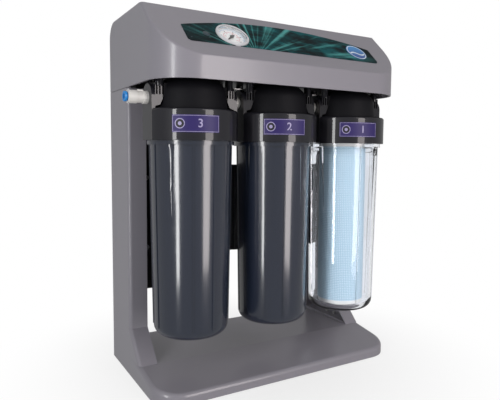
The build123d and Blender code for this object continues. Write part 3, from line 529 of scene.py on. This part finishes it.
def dress_label(stage):
    """Border, emblem and stage number on a label that is bent round the ring."""
    corners = corners_of(f"stage_label_{stage}")
    low, high = (Vector(corner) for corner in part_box(f"sump_{stage}"))
    axis = (low + high) / 2
    spread = corners - np.array([axis.x, axis.y, 0])
    radius = np.hypot(spread[:, 0], spread[:, 1]).max()
    angle = np.arctan2(spread[:, 1], spread[:, 0])
    bottom, top = corners[:, 2].min(), corners[:, 2].max()
    half_width = radius * (angle.max() - angle.min()) / 2
    half_height = (top - bottom) / 2
    put = bent(Vector((axis.x, axis.y, (top + bottom) / 2)), radius, (angle.max() + angle.min()) / 2)
    ink, line, edge = 0.05 * MM, 0.5 * MM, 0.9 * MM
    steps = np.linspace(-1, 1, 41)[None, :]
    sides = np.array([-0.5, 0.5])[:, None] * line
    marks = [patch(put, steps * (half_width - edge), rise + sides, ink)
             for rise in (edge - half_height, half_height - edge)]
    marks += [patch(put, along + sides, steps * (half_height - edge), ink)
              for along in (edge - half_width, half_width - edge)]
    emblem = (-half_width + 9.5 * MM, 0)

    def round_mark(inner, outer):
        return arc(put, emblem, inner * MM, outer * MM, 0, 360, ink)

    marks += [round_mark(5.0, 6.0), round_mark(0.2, 2.2)]
    marks.append(figure(put, str(stage), (5.0 * MM, 0.0), 14 * MM, ink, bolder=0.15 * MM))
    make_piece(f"stage_label_emblem_{stage}", [round_mark(2.4, 4.8)], ink_black, "frame")
    make_piece(f"stage_label_print_{stage}", marks, label_silver, "frame")


def dress_facia():
    """A bubble and a spiral scatter of droplets raised on the printed panel's left end."""
    normal = -Vector(joint_named("gauge_needle_turn")["axis"]).normalized()
    right = Vector((1, 0, 0))
    corners = corners_of("facia_panel")
    face = (corners @ np.array(normal)).max()
    base = (corners @ np.array(normal.cross(right))).min()
    put = flat(normal * face, right, normal)
    middle, height = -119.5 * MM, base + 18.5 * MM
    left, until, lowest, highest = -143 * MM, -107.5 * MM, base + 3 * MM, base + 30 * MM
    golden_turn = 2.39996
    drops = [drop(put, (middle, height), 5.0 * MM, 0.35 * MM)]
    for number in range(26):
        turn, reach = number * golden_turn, (9 + 4.2 * math.sqrt(number)) * MM
        along, rise = middle + reach * math.cos(turn) * 1.3, height + reach * math.sin(turn) * 0.55
        if left < along < until and lowest < rise < highest:
            drops.append(drop(put, (along, rise), (0.4 + 0.35 * (number % 3)) * MM, 0.18 * MM))
    make_piece("facia_droplets", drops, droplet, "frame")


droplet = Finish("droplet", base_color=(0.004, 0.030, 0.045), roughness=0.12, specular_ior_level=0.6)
dress_gauge()
dress_facia()
for stage in STAGES:
    dress_label(stage)


# --- Camera, light and floor ---------------------------------------------------------------------
def aim_camera(place, yaw, pitch, roll, lens, shift):
    """Angles in degrees: yaw to the right of +Y, pitch down, roll anticlockwise as seen."""
    yaw, pitch, roll = (math.radians(angle) for angle in (yaw, pitch, roll))
    ahead = Vector((math.sin(yaw) * math.cos(pitch), math.cos(yaw) * math.cos(pitch), -math.sin(pitch)))
    right = Vector((math.cos(yaw), -math.sin(yaw), 0))
    up = right.cross(ahead)
    across = right * math.cos(roll) + up * math.sin(roll)
    upward = up * math.cos(roll) - right * math.sin(roll)
    camera = bpy.data.objects.new("camera", bpy.data.cameras.new("camera"))
    camera.matrix_world = Matrix.Translation(place) @ Matrix((across, upward, -ahead)).transposed().to_4x4()
    camera.data.sensor_width = 36
    camera.data.lens = lens
    camera.data.shift_x, camera.data.shift_y = shift
    camera.data.clip_start = 0.01
    bpy.context.scene.collection.objects.link(camera)
    bpy.context.scene.camera = camera


def lamp(name, place, target, size, power, colour=(1, 1, 1)):
    """A rectangular area light turned to its target; its power is in watts."""
    data = bpy.data.lights.new(name, "AREA")
    data.shape = "RECTANGLE"
    data.size, data.size_y = size
    data.energy = power
    data.color = colour
    light = bpy.data.objects.new(name, data)
    light.location = place
    light.rotation_euler = (Vector(target) - Vector(place)).to_track_quat("-Z", "Y").to_euler()
    bpy.context.scene.collection.objects.link(light)


def seen_straight(tree):
    """One on a ray from the camera or through clear plastic, else zero."""
    path = tree.nodes.new("ShaderNodeLightPath")
    seen = tree.nodes.new("ShaderNodeMath")
    seen.operation = "MAXIMUM"
    tree.links.new(path.outputs["Is Camera Ray"], seen.inputs[0])
    tree.links.new(path.outputs["Is Transmission Ray"], seen.inputs[1])
    return seen.outputs[0]


def light_studio():
    """A narrow tall softbox on the left, a wider rose one in front, a weak top light and a pale room."""
    lamp("key_box", place=(-1.37, -0.73, 0.45), target=(0, 0, 0.45), size=(0.22, 1.4), power=10.5)
    lamp("front_box", place=(0.44, -1.54, 0.45), target=(0, 0, 0.45), size=(0.55, 1.4), power=13,
         colour=(1.0, 0.93, 0.92))
    lamp("top_box", place=(0, 0.1, 1.9), target=(0, 0, 0.3), size=(1.4, 1.4), power=1)
    world = bpy.data.worlds.new("studio")
    bpy.context.scene.world = world
    world.use_nodes = True
    tree = world.node_tree
    sky = tree.nodes["Background"]
    sky.inputs["Color"].default_value = (1, 1, 1, 1)
    strength = tree.nodes.new("ShaderNodeMapRange")
    strength.inputs["To Min"].default_value = 0.34
    strength.inputs["To Max"].default_value = 1.0
    tree.links.new(seen_straight(tree), strength.inputs["Value"])
    tree.links.new(strength.outputs[0], sky.inputs["Strength"])


def lay_floor():
    """Pale floor: plain white away from the object, a faint shadow near it, and no mirror image."""
    mesh = bpy.data.meshes.new("floor")
    reach = 8.0
    mesh.from_pydata([(-reach, -reach, 0), (reach, -reach, 0), (reach, reach, 0), (-reach, reach, 0)],
                     [], [(0, 1, 2, 3)])
    floor = bpy.data.objects.new("floor", mesh)
    bpy.context.scene.collection.objects.link(floor)
    finish = Finish("floor", base_color=(0.9, 0.9, 0.9), roughness=0.8, specular_ior_level=0.1)
    x, y, z = finish.along()
    away = finish.ramp((x * x + y * y) ** 0.5, 0.05, 0.40, 0.7, 1.0)
    white = finish.node("ShaderNodeEmission", None, {"Color": (1, 1, 1), "Strength": 1.0})
    lit = finish.mixed(away * Value(finish, seen_straight(finish.tree)), finish.own(), white)
    glossy = finish.node("ShaderNodeLightPath", output="Is Glossy Ray")
    clear = finish.node("ShaderNodeBsdfTransparent")
    finish.show(finish.mixed(glossy, lit, clear))
    mesh.materials.append(finish.material)


aim_camera(place=(-0.3915, -0.6629, 0.3107), yaw=30.72, pitch=4.52, roll=0.51, lens=37.485,
           shift=(-0.0191, -0.0149))
light_studio()
lay_floor()
bpy.context.scene.view_settings.view_transform = "Standard"
bpy.context.view_layer.update()
